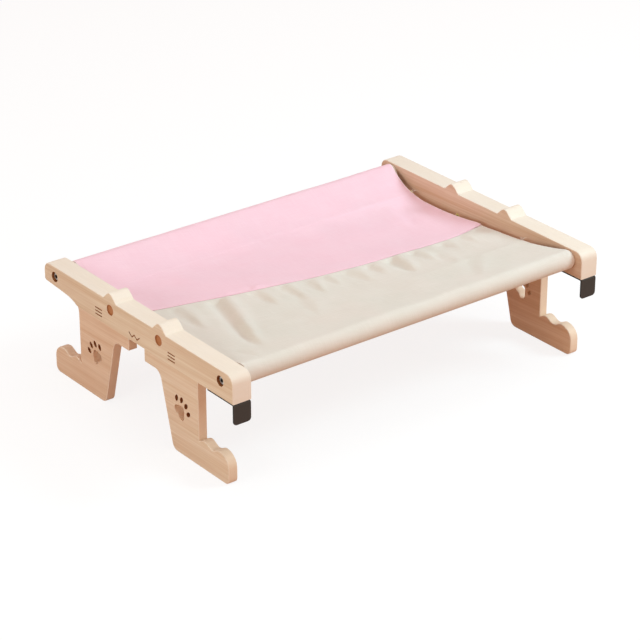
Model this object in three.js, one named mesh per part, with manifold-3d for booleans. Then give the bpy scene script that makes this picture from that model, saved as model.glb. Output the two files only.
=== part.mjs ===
// A cat window perch: two wooden side frames on hooked feet, two dowels between them, and a
// two-colour canvas sling sewn round the dowels. A sliding steel hook under the front of
// each rail grips a window sill, a bed board or a shelf.
// Millimetres. +X runs along the dowels, +Y to the rear, +Z up. The origin is on the floor
// under the middle of the frame.
import * as THREE from "three";
import { mergeVertices } from "three/addons/utils/BufferGeometryUtils.js";
import Module from "manifold-3d";

const wasm = await Module();
wasm.setup();

// Facets of round pieces
const dowelFacets = 24;
const boreFacets = 18;
const screwFacets = 12;
const hexSides = 6;
const squareSides = 4;
const cornerSteps = 4;
const weldDistance = 0.001;
const overrun = 1;

// Whole frame
const frameWidth = 570;
const railLength = 400;
const railThickness = 27;
const railHeight = 36;
const standHeight = 118.5;

// Rail outline
const noseRadius = 12;
const tailRise = 10;
const tailRadius = 4;
const undercutLength = 50;
const undercutRise = 6.5;
const undercutCurve = 23;
const undercutCrown = 5.8;
const earSpacing = 105;
const earWidth = 28;
const earHeight = 10;
const earFullnessShare = 0.6;
const earSteps = 12;

// Cat face cut into the outer side of a rail
const eyeSpacing = 103;
const eyeDiameter = 14;
const eyeLevel = 24;
const eyeDepth = 1.5;
const whiskerSpacing = 155;
const whiskerLength = 15;
const whiskerWidth = 1.6;
const whiskerPitch = 4.3;
const whiskerLevel = 11.8;
const mouthWidth = 22;
const mouthHeight = 4.6;
const mouthLevel = 6;
const strokeWidth = 1.6;
const strokeDepth = 1;

// Legs
const legThickness = 12;
const frontLegSetback = 80.5;
const rearLegSetback = 64.5;
const armHeight = 23.5;
const armEndRadius = 2;
const tabHeight = 10;
const tabGap = 0.2;
const heelInset = 54;
const heelRadius = 10;
const shoulderInset = 79;
const shoulderRadius = 12;
const armReachShare = 0.328;
const rearCoveRadius = 14;
const footReach = 60;
const footLevel = 35.9;
const footWaveHeight = 2.7;
const footWavePitch = 30;
const footCrest = 41;
const footShoulder = 22;
const footToeRadius = 8;
const waveSteps = 16;

// Paw print cut through each leg
const pawInset = 38.3;
const pawLevel = 56.8;
const padRadius = 9.15;
const padShares = [1, 0.117, -0.153, 0.184];
const padSteps = 20;
const padTurn = THREE.MathUtils.degToRad(40);
const toeRing = 17.8;
const toeLength = 9.2;
const toeWidth = 6;
const toeSteps = 12;
const toeTurn = THREE.MathUtils.degToRad(29);
const toeSpread = THREE.MathUtils.degToRad(33);
const toeLean = THREE.MathUtils.degToRad(32);
const toeLeanStep = THREE.MathUtils.degToRad(11);
const toeCount = 4;

// Dowels with their bolts, washers and threaded inserts
const dowelDiameter = 22;
const dowelInset = 24;
const dowelLevel = 21.7;
const socketDepth = 8;
const socketGap = 0.3;
const dowelEndGap = 0.3;
const boltDiameter = 6;
const boltHoleDiameter = 6.8;
const boltHeadDiameter = 10;
const boltHeadHeight = 6;
const boltLength = 25;
const boltKeyWidth = 5;
const boltKeyDepth = 3;
const counterboreDiameter = 13.6;
const counterboreDepth = 10;
const boltWasherDiameter = 12;
const boltWasherThickness = 1.6;
const insertDiameter = 10;
const insertLength = 15;
const insertWallGap = 0.2;
const insertThreadGap = 0.2;
const dowelDrillDepth = 20;
const seatGap = 0.05;

// Wood screws that hold a leg's tab in its groove
const woodScrewDiameter = 4;
const woodScrewLength = 16;
const woodScrewHeadDiameter = 7.6;
const woodScrewHeadHeight = 2.4;
const woodScrewSink = 0.4;
const woodScrewKeyWidth = 2.6;
const woodScrewKeyDepth = 1;
const woodScrewGap = 0.15;
const woodScrewEndMargin = 14;
const woodScrewTip = 3;

// Sliding hooks
const hookWidth = 25;
const hookThickness = 2;
const hookDrop = 27.3;
const hookReach = 54.5;
const hookBendRadius = 3.2;
const hookCornerRadius = 4.5;
const hookSlotWidth = 5.6;
const hookSlotLength = 42;
const hookSlotMargin = 5;
const hookGap = 0.15;
const padThickness = 1;
const padWidth = 22;
const padHeight = 20;
const padCornerRadius = 3.5;
const hookScrewDiameter = 5;
const hookScrewSpacing = 12;
const hookScrewHeadDiameter = 9;
const hookScrewHeadHeight = 2.8;
const hookScrewLength = 11;
const hookScrewKeyWidth = 3;
const hookScrewKeyDepth = 1.6;
const hookWasherDiameter = 10;
const hookWasherThickness = 1;
const hookInsertDiameter = 7.6;
const hookInsertLength = 8;

// Canvas sling
const clothThickness = 1.2;
const clothSideGap = 4;
const sleeveGap = 0.5;
const rearSleeveLength = 57;
const frontSleeveLength = 73;
const rearStitchDrop = 8.7;
const frontStitchDrop = 0.3;
const sagDepth = 10.2;
const sagSkewShare = 0.75;
const edgeSagShare = 0.265;
const bellySkewShare = 5.1;
const edgeBow = 5.5;
const seamPlace = -20;
const seamSkew = 55;
const seamSkewStart = 50;
const seamSkewEnd = -250;
const seamCurveShare = 1.5;
const lapWidth = 9;
const lapRamp = 12;
const plyGap = 0.3;
const foldHeight = 1.4;
const foldPitch = 70;
const foldSlantShare = 0.166;
const sleeveSteps = 13;
const sheetSteps = 7;
const clothSteps = 24;

// Places worked out from the sizes above
const outerX = -frameWidth / 2;
const innerX = outerX + railThickness;
const railMidX = outerX + railThickness / 2;
const frontY = -railLength / 2;
const rearY = railLength / 2;
const tabTop = standHeight + tabHeight;
const dowelZ = standHeight + dowelLevel;
const frontDowelY = frontY + dowelInset;
const rearDowelY = rearY - dowelInset;
const frontLegY = frontY + frontLegSetback;
const rearLegY = rearY - rearLegSetback;
const shoulderSpacing = rearLegY - frontLegY - 2 * shoulderInset;
const armReach = armReachShare * shoulderSpacing;
const armLength = shoulderInset + armReach;
const shoulderFillet = Math.min(shoulderRadius, armReach - armEndRadius);
const boltHeadX = outerX + counterboreDepth - boltWasherThickness - boltHeadHeight;

// Materials
const wood = { color: 0xd9b892, roughness: 0.62, metalness: 0 };
const steel = { color: 0xb9bcc0, roughness: 0.35, metalness: 1 };
const brass = { color: 0xb89a5a, roughness: 0.4, metalness: 1 };
const blackSteel = { color: 0x2d2622, roughness: 0.45, metalness: 0.4 };
const blackFoam = { color: 0x1f1c1a, roughness: 0.9, metalness: 0 };
const pinkCanvas = { color: 0xf6ccd9, roughness: 0.9, metalness: 0 };
const beigeCanvas = { color: 0xe0dbcf, roughness: 0.9, metalness: 0 };

const perch = new THREE.Group();

function addPiece(name, geometry, finish) {
  const mesh = new THREE.Mesh(geometry, new THREE.MeshStandardMaterial(finish));
  mesh.name = name;
  perch.add(mesh);
}

// The same piece on the right side frame is the mirror image of the left one.
function mirrored(geometry) {
  const flipped = geometry.index ? geometry.toNonIndexed() : geometry.clone();
  flipped.scale(-1, 1, 1);
  const places = flipped.getAttribute("position");
  for (let i = 0; i < places.count; i += 3) {
    const swap = new THREE.Vector3().fromBufferAttribute(places, i);
    const other = new THREE.Vector3().fromBufferAttribute(places, i + 1);
    places.setXYZ(i, other.x, other.y, other.z);
    places.setXYZ(i + 1, swap.x, swap.y, swap.z);
  }
  flipped.computeVertexNormals();
  return flipped;
}

function addPair(name, geometry, finish) {
  addPiece("left_" + name, geometry, finish);
  addPiece("right_" + name, mirrored(geometry), finish);
}

// Cuts and joins
function toSolid(geometry) {
  const loose = geometry.index ? geometry.toNonIndexed() : geometry;
  const bare = new THREE.BufferGeometry();
  bare.setAttribute("position", loose.getAttribute("position"));
  const merged = mergeVertices(bare, weldDistance);
  return new wasm.Manifold(
    new wasm.Mesh({
      numProp: 3,
      vertProperties: merged.getAttribute("position").array,
      triVerts: new Uint32Array(merged.index.array),
    }),
  );
}

function toGeometry(solid) {
  const mesh = solid.getMesh();
  const geometry = new THREE.BufferGeometry();
  geometry.setAttribute("position", new THREE.BufferAttribute(mesh.vertProperties, 3));
  geometry.setIndex(new THREE.BufferAttribute(mesh.triVerts, 1));
  return geometry.toNonIndexed();
}

function cut(geometry, cutters) {
  const result = cutters.reduce((body, cutter) => body.subtract(toSolid(cutter)), toSolid(geometry));
  return toGeometry(result);
}

function common(first, second) {
  return toGeometry(toSolid(first).intersect(toSolid(second)));
}

// Outlines
function shapeOf(points) {
  const corners = points.map(([u, v]) => new THREE.Vector2(u, v));
  return new THREE.Shape(THREE.ShapeUtils.isClockWise(corners) ? corners.reverse() : corners);
}

function arcPoints(u, v, radiusU, radiusV, from, to, steps) {
  return Array.from({ length: steps + 1 }, (_, i) => {
    const angle = from + ((to - from) * i) / steps;
    return [u + radiusU * Math.cos(angle), v + radiusV * Math.sin(angle)];
  });
}

// A polygon whose corners [u, v, radius] are rounded where a radius is given.
function rounded(corners) {
  return corners.flatMap(([u, v, radius], i) => {
    if (!radius) return [[u, v]];
    const corner = new THREE.Vector2(u, v);
    const before = corners[(i + corners.length - 1) % corners.length];
    const after = corners[(i + 1) % corners.length];
    const back = new THREE.Vector2(before[0], before[1]).sub(corner).normalize();
    const ahead = new THREE.Vector2(after[0], after[1]).sub(corner).normalize();
    const half = Math.acos(back.dot(ahead)) / 2;
    const middle = back.clone().add(ahead).normalize().multiplyScalar(radius / Math.sin(half));
    const centre = corner.clone().add(middle);
    const reach = radius / Math.tan(half);
    const start = corner.clone().addScaledVector(back, reach).sub(centre);
    const end = corner.clone().addScaledVector(ahead, reach).sub(centre);
    const from = start.angle();
    const turn = Math.atan2(start.cross(end), start.dot(end));
    return arcPoints(centre.x, centre.y, radius, radius, from, from + turn, cornerSteps);
  });
}

function box(width, height, u, v, radius) {
  return rounded([
    [u - width / 2, v - height / 2, radius],
    [u + width / 2, v - height / 2, radius],
    [u + width / 2, v + height / 2, radius],
    [u - width / 2, v + height / 2, radius],
  ]);
}

function extruded(shape, depth) {
  return new THREE.ExtrudeGeometry(shape, { depth, steps: 1, bevelEnabled: false });
}

// Turns a drawing's axes into (y, z) and its depth into X, from the given x.
function alongXFrom(x) {
  return new THREE.Matrix4().set(0, 0, 1, x, 1, 0, 0, 0, 0, 1, 0, 0, 0, 0, 0, 1);
}

// An outline in (y, z) made solid along X, from the given x.
function alongX(shape, thickness, x) {
  return extruded(shape, thickness).applyMatrix4(alongXFrom(x));
}

// An outline in (x, z) made solid along Y, from the given y towards the rear.
function alongY(shape, thickness, y) {
  const turn = new THREE.Matrix4().set(1, 0, 0, 0, 0, 0, -1, y + thickness, 0, 1, 0, 0, 0, 0, 0, 1);
  return extruded(shape, thickness).applyMatrix4(turn);
}

// An outline in (x, y) made solid along Z, from the given z upwards.
function alongZ(shape, thickness, z) {
  return extruded(shape, thickness).translate(0, 0, z);
}

// A round bar along X between two places.
function barX(radius, fromX, toX, y, z, facets) {
  return new THREE.CylinderGeometry(radius, radius, toX - fromX, facets)
    .rotateZ(-Math.PI / 2)
    .translate((fromX + toX) / 2, y, z);
}

// A round bar along Z between two places.
function barZ(radius, fromZ, toZ, x, y, facets) {
  return new THREE.CylinderGeometry(radius, radius, toZ - fromZ, facets)
    .rotateX(Math.PI / 2)
    .translate(x, y, (fromZ + toZ) / 2);
}

// A turned piece on the Y axis; its profile lists [radius, place] from the bottom up.
function turned(profile, facets) {
  const points = profile.map(([radius, place]) => new THREE.Vector2(radius, place));
  return new THREE.LatheGeometry(points, facets);
}

// A ring on the Y axis that starts at zero and rises by its thickness.
function ring(outerRadius, innerRadius, thickness, facets) {
  return turned(
    [
      [innerRadius, 0],
      [outerRadius, 0],
      [outerRadius, thickness],
      [innerRadius, thickness],
      [innerRadius, 0],
    ],
    facets,
  );
}

// The top of a screw head is at zero and its shank points down the Y axis.
function keyedScrew(profile, facets, keyWidth, keyDepth, keyFacets) {
  const keyRadius = keyWidth / 2 / Math.cos(Math.PI / keyFacets);
  const key = new THREE.CylinderGeometry(keyRadius, keyRadius, keyDepth + overrun, keyFacets);
  key.translate(0, (overrun - keyDepth) / 2, 0);
  return cut(turned(profile, facets), [key]);
}

function capScrew(headDiameter, headHeight, shankDiameter, shankLength, keyWidth, keyDepth) {
  const profile = [
    [0, -headHeight - shankLength],
    [shankDiameter / 2, -headHeight - shankLength],
    [shankDiameter / 2, -headHeight],
    [headDiameter / 2, -headHeight],
    [headDiameter / 2, 0],
    [0, 0],
  ];
  return keyedScrew(profile, screwFacets, keyWidth, keyDepth, hexSides);
}

function woodScrew() {
  const profile = [
    [0, -woodScrewLength],
    [woodScrewDiameter / 2, woodScrewTip - woodScrewLength],
    [woodScrewDiameter / 2, -woodScrewHeadHeight],
    [woodScrewHeadDiameter / 2, 0],
    [0, 0],
  ];
  return keyedScrew(profile, screwFacets, woodScrewKeyWidth, woodScrewKeyDepth, squareSides);
}

// The hole for a wood screw, which opens past the rail's inner face and has clearance all round.
function woodScrewHole() {
  const wide = woodScrewHeadDiameter / 2 + woodScrewGap;
  const narrow = woodScrewDiameter / 2 + woodScrewGap;
  const profile = [
    [0, -woodScrewLength - woodScrewGap],
    [narrow, -woodScrewLength - woodScrewGap],
    [narrow, -woodScrewHeadHeight - woodScrewGap],
    [wide, -woodScrewGap],
    [wide, woodScrewSink + overrun],
    [0, woodScrewSink + overrun],
  ];
  return turned(profile, screwFacets);
}

// Leg outline. The inset p grows from the column's outer edge towards the middle of the
// rail, and inward is the way that it runs along Y.
function footTop(p) {
  const phase = (2 * Math.PI * (p + footCrest)) / footWavePitch;
  return footLevel + footWaveHeight * Math.cos(phase);
}

function legOutline(coveRadius) {
  const underArm = standHeight - armHeight;
  const crestTop = footLevel + footWaveHeight;
  const noseLength = footReach - footCrest;
  const coveZ = standHeight - coveRadius;
  const coveArc = arcPoints(-coveRadius, coveZ, coveRadius, coveRadius, Math.PI / 2, 0, cornerSteps);
  const cove = coveRadius ? [[-coveRadius, tabTop], ...coveArc] : [[0, tabTop]];
  const wave = Array.from({ length: waveSteps }, (_, i) => {
    const p = (-footCrest * i) / waveSteps;
    return [p, footTop(p)];
  });
  const nose = arcPoints(
    -footCrest,
    footShoulder,
    noseLength,
    crestTop - footShoulder,
    Math.PI / 2,
    Math.PI,
    cornerSteps + 1,
  );
  const toe = arcPoints(
    footToeRadius - footReach,
    footToeRadius,
    footToeRadius,
    footToeRadius,
    Math.PI,
    1.5 * Math.PI,
    cornerSteps,
  );
  const inside = rounded([
    [footToeRadius - footReach, 0, 0],
    [heelInset, 0, heelRadius],
    [shoulderInset, underArm, shoulderFillet],
    [armLength, underArm, armEndRadius],
    [armLength, tabTop, 0],
  ]).slice(1);
  return [...cove, ...wave, ...nose, ...toe, ...inside];
}

function padOutline() {
  return Array.from({ length: padSteps }, (_, i) => {
    const angle = (2 * Math.PI * i) / padSteps;
    const reach = padRadius * padShares.reduce((sum, share, k) => sum + share * Math.cos(k * angle), 0);
    return [pawInset - reach * Math.sin(angle + padTurn), pawLevel + reach * Math.cos(angle + padTurn)];
  });
}

function toeOutline(index) {
  const place = index - (toeCount - 1) / 2;
  const angle = toeTurn + toeSpread * place;
  const lean = toeLean + toeLeanStep * place;
  const p = pawInset - toeRing * Math.sin(angle);
  const z = pawLevel + toeRing * Math.cos(angle);
  return arcPoints(0, 0, toeWidth / 2, toeLength / 2, 0, 2 * Math.PI, toeSteps)
    .slice(1)
    .map(([u, v]) => [
      p + u * Math.cos(lean) - v * Math.sin(lean),
      z + u * Math.sin(lean) + v * Math.cos(lean),
    ]);
}

function legShape(columnY, inward, coveRadius) {
  const place = (points) => shapeOf(points.map(([p, z]) => [columnY + inward * p, z]));
  const shape = place(legOutline(coveRadius));
  const toes = Array.from({ length: toeCount }, (_, i) => toeOutline(i));
  shape.holes = [padOutline(), ...toes].map(place);
  return shape;
}

// Where each leg stands, with its tab's two ends and its two wood screws.
function legPlace(name, columnY, inward, coveRadius) {
  const outerEnd = columnY - inward * coveRadius;
  const innerEnd = columnY + inward * armLength;
  const screws = [outerEnd + inward * woodScrewEndMargin, innerEnd - inward * woodScrewEndMargin];
  return { name, columnY, inward, coveRadius, ends: [outerEnd, innerEnd].sort((a, b) => a - b), screws };
}

const legs = [
  legPlace("front", frontLegY, 1, 0),
  legPlace("rear", rearLegY, -1, rearCoveRadius),
];
const dowels = [
  { name: "front", y: frontDowelY },
  { name: "rear", y: rearDowelY },
];
const woodScrewZ = standHeight + tabHeight / 2;
const hookSlotFront = frontY + hookThickness + hookSlotMargin;
const hookScrews = [0, 1].map((i) => ({
  name: ["front", "rear"][i],
  y: hookSlotFront + hookSlotWidth / 2 + i * hookScrewSpacing,
}));

// Puts a screw or its hole in the left rail's inner face.
function inInnerFace(geometry, y) {
  return geometry.rotateZ(-Math.PI / 2).translate(innerX - woodScrewSink, y, woodScrewZ);
}

// Rails
function ear(centreY) {
  return Array.from({ length: earSteps + 1 }, (_, i) => {
    const across = (2 * i) / earSteps - 1;
    const hump = ((1 + Math.cos(Math.PI * across)) / 2) ** earFullnessShare;
    return [centreY + (across * earWidth) / 2, railHeight + earHeight * hump];
  });
}

function railOutline() {
  const bend = rearY - undercutLength;
  const ends = rounded([
    [frontY, 0, 0],
    [frontY, railHeight, noseRadius],
    [rearY, railHeight, noseRadius],
    [rearY, tailRise, tailRadius],
    [bend, undercutRise, 0],
  ]);
  const noseEnd = ends.slice(0, cornerSteps + 2);
  const tail = ends.slice(cornerSteps + 2);
  const curve = new THREE.QuadraticBezierCurve(
    new THREE.Vector2(bend, undercutRise),
    new THREE.Vector2(bend - undercutCurve / 2, undercutCrown),
    new THREE.Vector2(bend - undercutCurve, 0),
  );
  const sweep = curve.getPoints(cornerSteps).slice(1);
  return [
    ...noseEnd,
    ...ear(-earSpacing / 2),
    ...ear(earSpacing / 2),
    ...tail,
    ...sweep.map((point) => [point.x, point.y]),
  ].map(([y, height]) => [y, standHeight + height]);
}

// A straight groove with round ends between two points of the rail's outer face.
function stroke(fromY, fromZ, toY, toZ, width) {
  const along = Math.atan2(toZ - fromZ, toY - fromY);
  const side = Math.PI / 2;
  const points = [
    ...arcPoints(fromY, fromZ, width / 2, width / 2, along + side, along + 3 * side, cornerSteps),
    ...arcPoints(toY, toZ, width / 2, width / 2, along - side, along + side, cornerSteps),
  ];
  return alongX(shapeOf(points), strokeDepth + overrun, outerX - overrun);
}

function whiskers() {
  return [-1, 1].flatMap((end) =>
    [-1, 0, 1].map((row) => {
      const y = (end * whiskerSpacing) / 2;
      const z = standHeight + whiskerLevel + row * whiskerPitch;
      const half = (whiskerLength - whiskerWidth) / 2;
      return stroke(y - half, z, y + half, z, whiskerWidth);
    }),
  );
}

function mouth() {
  const low = standHeight + mouthLevel;
  const high = low + mouthHeight;
  const turns = [
    [-mouthWidth / 2, high],
    [-mouthWidth / 4, low],
    [0, high],
    [mouthWidth / 4, low],
    [mouthWidth / 2, high],
  ];
  return turns.slice(1).map(([y, z], i) => stroke(turns[i][0], turns[i][1], y, z, strokeWidth));
}

function eyes() {
  return [-1, 1].map((end) =>
    barX(
      eyeDiameter / 2,
      outerX - overrun,
      outerX + eyeDepth,
      (end * eyeSpacing) / 2,
      standHeight + eyeLevel,
      boreFacets,
    ),
  );
}

function dowelBores(y) {
  return [
    barX(dowelDiameter / 2 + socketGap, innerX - socketDepth, innerX + overrun, y, dowelZ, dowelFacets),
    barX(boltHoleDiameter / 2, outerX - overrun, innerX + overrun, y, dowelZ, screwFacets),
    barX(counterboreDiameter / 2, outerX - overrun, outerX + counterboreDepth, y, dowelZ, boreFacets),
  ];
}

function tabGroove(leg) {
  const [low, high] = leg.ends;
  const width = legThickness + 2 * tabGap;
  const length = high - low + 2 * tabGap;
  const outline = shapeOf(box(width, length, railMidX, (low + high) / 2, 0));
  return alongZ(outline, tabHeight + tabGap + overrun, standHeight - overrun);
}

function hookInsertBore(screw) {
  const radius = hookInsertDiameter / 2 + insertWallGap;
  const top = standHeight + hookInsertLength + insertWallGap;
  return barZ(radius, standHeight - overrun, top, railMidX, screw.y, boreFacets);
}

function rail() {
  const body = alongX(shapeOf(railOutline()), railThickness, outerX);
  return cut(body, [
    ...dowels.flatMap((dowel) => dowelBores(dowel.y)),
    ...legs.map(tabGroove),
    ...legs.flatMap((leg) => leg.screws.map((y) => inInnerFace(woodScrewHole(), y))),
    ...hookScrews.map(hookInsertBore),
    ...eyes(),
    ...whiskers(),
    ...mouth(),
  ]);
}

addPair("rail", rail(), wood);

for (const leg of legs) {
  const shape = legShape(leg.columnY, leg.inward, leg.coveRadius);
  const board = alongX(shape, legThickness, railMidX - legThickness / 2);
  const holes = leg.screws.map((y) => inInnerFace(woodScrewHole(), y));
  addPair(leg.name + "_leg", cut(board, holes), wood);
  leg.screws.forEach((y, i) => {
    const name = leg.name + "_leg_screw_" + ["outer", "inner"][i];
    addPair(name, inInnerFace(woodScrew(), y), brass);
  });
}

// Dowels
for (const dowel of dowels) {
  const endX = innerX - socketDepth + dowelEndGap;
  const bar = barX(dowelDiameter / 2, endX, -endX, dowel.y, dowelZ, dowelFacets);
  const boreRadius = insertDiameter / 2 + insertWallGap;
  const bores = [
    barX(boreRadius, endX - overrun, endX + dowelDrillDepth, dowel.y, dowelZ, boreFacets),
    barX(boreRadius, -endX - dowelDrillDepth, -endX + overrun, dowel.y, dowelZ, boreFacets),
  ];
  addPiece(dowel.name + "_dowel", cut(bar, bores), wood);

  const threadRadius = boltDiameter / 2 + insertThreadGap;
  const insert = ring(insertDiameter / 2, threadRadius, insertLength, screwFacets);
  insert.rotateZ(-Math.PI / 2).translate(endX, dowel.y, dowelZ);
  addPair(dowel.name + "_dowel_insert", insert, brass);

  const bolt = capScrew(
    boltHeadDiameter,
    boltHeadHeight,
    boltDiameter,
    boltLength,
    boltKeyWidth,
    boltKeyDepth,
  );
  bolt.rotateZ(Math.PI / 2).translate(boltHeadX - seatGap, dowel.y, dowelZ);
  addPair(dowel.name + "_rail_bolt", bolt, steel);

  const washerBore = (boltHoleDiameter + boltDiameter) / 4;
  const washer = ring(boltWasherDiameter / 2, washerBore, boltWasherThickness, boreFacets);
  washer.rotateZ(-Math.PI / 2).translate(boltHeadX + boltHeadHeight, dowel.y, dowelZ);
  addPair(dowel.name + "_bolt_washer", washer, steel);
}

// Hooks: a bent strip whose slotted arm slides under the rail
function hookStrip() {
  const top = standHeight - hookGap;
  const inner = hookBendRadius - hookThickness;
  const side = rounded([
    [frontY, top - hookDrop, 0],
    [frontY + hookThickness, top - hookDrop, 0],
    [frontY + hookThickness, top - hookThickness, inner],
    [frontY + hookReach, top - hookThickness, 0],
    [frontY + hookReach, top, 0],
    [frontY, top, hookBendRadius],
  ]);
  const strip = alongX(shapeOf(side), hookWidth, railMidX - hookWidth / 2);
  const tall = hookDrop + overrun;
  const front = box(hookWidth, tall, railMidX, top - hookDrop + tall / 2, hookCornerRadius);
  const face = alongY(shapeOf(front), hookReach + 2 * overrun, frontY - overrun);
  const long = hookReach + hookCornerRadius;
  const plan = box(hookWidth, long, railMidX, frontY + hookReach - long / 2, hookCornerRadius);
  const cover = alongZ(shapeOf(plan), hookDrop + 2 * overrun, top - hookDrop - overrun);
  const slotMiddle = hookSlotFront + hookSlotLength / 2;
  const slot = box(hookSlotWidth, hookSlotLength, railMidX, slotMiddle, hookSlotWidth / 2);
  const slotCut = alongZ(shapeOf(slot), hookThickness + 2 * overrun, top - hookThickness - overrun);
  return cut(common(common(strip, face), cover), [slotCut]);
}

addPair("hook", hookStrip(), blackSteel);

const hookPadZ = standHeight - hookGap - hookDrop + padHeight / 2 + hookThickness / 2;
const hookPad = shapeOf(box(padWidth, padHeight, railMidX, hookPadZ, padCornerRadius));
addPair("hook_pad", alongY(hookPad, padThickness, frontY + hookThickness), blackFoam);

const hookWasherTop = standHeight - 2 * hookGap - hookThickness;
const hookHeadTop = hookWasherTop - hookWasherThickness - hookScrewHeadHeight - seatGap;
for (const screw of hookScrews) {
  const bolt = capScrew(
    hookScrewHeadDiameter,
    hookScrewHeadHeight,
    hookScrewDiameter,
    hookScrewLength,
    hookScrewKeyWidth,
    hookScrewKeyDepth,
  );
  bolt.rotateX(-Math.PI / 2).translate(railMidX, screw.y, hookHeadTop);
  addPair("hook_screw_" + screw.name, bolt, blackSteel);

  const bore = (hookSlotWidth + hookScrewDiameter) / 4;
  const washer = ring(hookWasherDiameter / 2, bore, hookWasherThickness, screwFacets);
  washer.rotateX(Math.PI / 2).translate(railMidX, screw.y, hookWasherTop - hookWasherThickness);
  addPair("hook_washer_" + screw.name, washer, steel);

  const threadRadius = hookScrewDiameter / 2 + insertThreadGap;
  const insert = ring(hookInsertDiameter / 2, threadRadius, hookInsertLength, screwFacets);
  insert.rotateX(Math.PI / 2).translate(railMidX, screw.y, standHeight);
  addPair("hook_insert_" + screw.name, insert, brass);
}

// Canvas sling. The sheet runs from the rear sleeve's stitching to the front sleeve's. Its
// sides are drawn nearly straight, and its belly hangs lowest on the right.
const clothWidth = frameWidth - 2 * railThickness - 2 * clothSideGap;
const rearStitchY = rearDowelY - rearSleeveLength;
const frontStitchY = frontDowelY + frontSleeveLength;
const rearStitchZ = dowelZ - rearStitchDrop;
const frontStitchZ = dowelZ - frontStitchDrop;

function chordZ(y) {
  const along = (rearStitchY - y) / (rearStitchY - frontStitchY);
  return rearStitchZ + (frontStitchZ - rearStitchZ) * THREE.MathUtils.clamp(along, 0, 1);
}

function dip(y) {
  const along = THREE.MathUtils.clamp((rearStitchY - y) / (rearStitchY - frontStitchY), 0, 1);
  return sagDepth * Math.sin(Math.PI * along ** sagSkewShare);
}

function flatZ(y) {
  return chordZ(y) - dip(y);
}

// Folds die out where the cloth lies on a dowel.
function foldZ(x, y) {
  const roll = dowelDiameter / 2 + sleeveGap + clothThickness;
  const front = THREE.MathUtils.smoothstep(y, frontDowelY + roll, frontStitchY);
  const rear = 1 - THREE.MathUtils.smoothstep(y, frontStitchY, rearStitchY);
  const phase = (2 * Math.PI * (x - foldSlantShare * y)) / foldPitch;
  const strength = (1 + Math.cos((Math.PI * (x + clothWidth / 2)) / clothWidth)) / 2;
  return foldHeight * front * rear * strength * Math.sin(phase);
}

function surfaceZ(x, y) {
  const fromLeft = THREE.MathUtils.clamp(x / clothWidth + 1 / 2, 0, 1);
  const belly = Math.sin(Math.PI * fromLeft ** bellySkewShare);
  const slack = edgeSagShare + (1 - edgeSagShare) * belly;
  return chordZ(y) - slack * dip(y) + foldZ(x, y);
}

function seamShift(x, y) {
  const run = (seamSkewStart - x) / (seamSkewStart - seamSkewEnd);
  const far = y > seamPlace ? rearStitchY : frontStitchY;
  const near = THREE.MathUtils.clamp((far - y) / (far - seamPlace), 0, 1);
  return seamSkew * THREE.MathUtils.clamp(run, 0, 1) ** seamCurveShare * near;
}

// A sleeve round one dowel with the sheet that leaves it, as an outline in (y, z) with the
// dowel's hole. The sheet's middle line lists its points from the stitching to its end.
function panelShape(dowelY, stitchY, middleLine) {
  const inner = dowelDiameter / 2 + sleeveGap;
  const outer = inner + clothThickness;
  const hub = new THREE.Vector2(dowelY, dowelZ);
  const offset = (way) =>
    middleLine.map((point, i) => {
      const before = middleLine[Math.max(i - 1, 0)];
      const after = middleLine[Math.min(i + 1, middleLine.length - 1)];
      const along = after.clone().sub(before).normalize();
      const normal = new THREE.Vector2(-along.y, along.x);
      if (normal.y < 0) normal.negate();
      return point.clone().addScaledVector(normal, (way * clothThickness) / 2);
    });
  const top = offset(1);
  const bottom = offset(-1);
  const toSheet = Math.sign(stitchY - dowelY);
  const wrap = (point, radius, way) => {
    const reach = point.clone().sub(hub);
    return reach.angle() + way * toSheet * Math.acos(radius / reach.length());
  };
  // from the place where one ply leaves the roll, round the far side, to that of the other
  const between = (startPoint, endPoint, radius) => {
    const from = wrap(startPoint, radius, 1);
    const to = wrap(endPoint, radius, -1);
    const full = 2 * Math.PI;
    const sweep = toSheet * ((((toSheet * (to - from)) % full) + full) % full);
    return arcPoints(hub.x, hub.y, radius, radius, from, from + sweep, sleeveSteps);
  };
  const list = (points) => points.map((point) => [point.x, point.y]);
  const roll = between(top[0], bottom[0], outer);
  const pull = top[0].clone().add(bottom[0]).divideScalar(2).sub(hub);
  const taper = Math.sin(Math.asin(outer / pull.length()));
  const apex = hub.clone().addScaledVector(pull, 1 - clothThickness / taper / pull.length());
  const shape = shapeOf([...list(top).reverse(), ...roll, ...list(bottom)]);
  shape.holes = [shapeOf([...between(apex, apex, inner), [apex.x, apex.y]])];
  return shape;
}

function panel(dowelY, stitchY, middleLine) {
  const shape = panelShape(dowelY, stitchY, middleLine);
  const steps = { depth: clothWidth, steps: clothSteps, bevelEnabled: false };
  const cloth = new THREE.ExtrudeGeometry(shape, steps);
  cloth.applyMatrix4(alongXFrom(-clothWidth / 2));
  const places = cloth.getAttribute("position");
  for (let i = 0; i < places.count; i += 1) {
    const x = places.getX(i);
    const y = places.getY(i);
    const moved = y + seamShift(x, y);
    const middle = Math.max(0, 1 - (y / frontStitchY) ** 2);
    places.setX(i, x * (1 - (2 * edgeBow * middle) / clothWidth));
    places.setY(i, moved);
    places.setZ(i, places.getZ(i) + surfaceZ(x, moved) - flatZ(y));
  }
  return cloth;
}

// Middle line from a stitch line to the sheet's end; the upper ply of the lap is raised.
function middleLine(fromY, toY, raise) {
  const points = [];
  for (let i = 0; i <= sheetSteps; i += 1) {
    const y = fromY + ((toY - fromY) * i) / sheetSteps;
    points.push(new THREE.Vector2(y, flatZ(y) + raise(y)));
  }
  return points;
}

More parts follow.
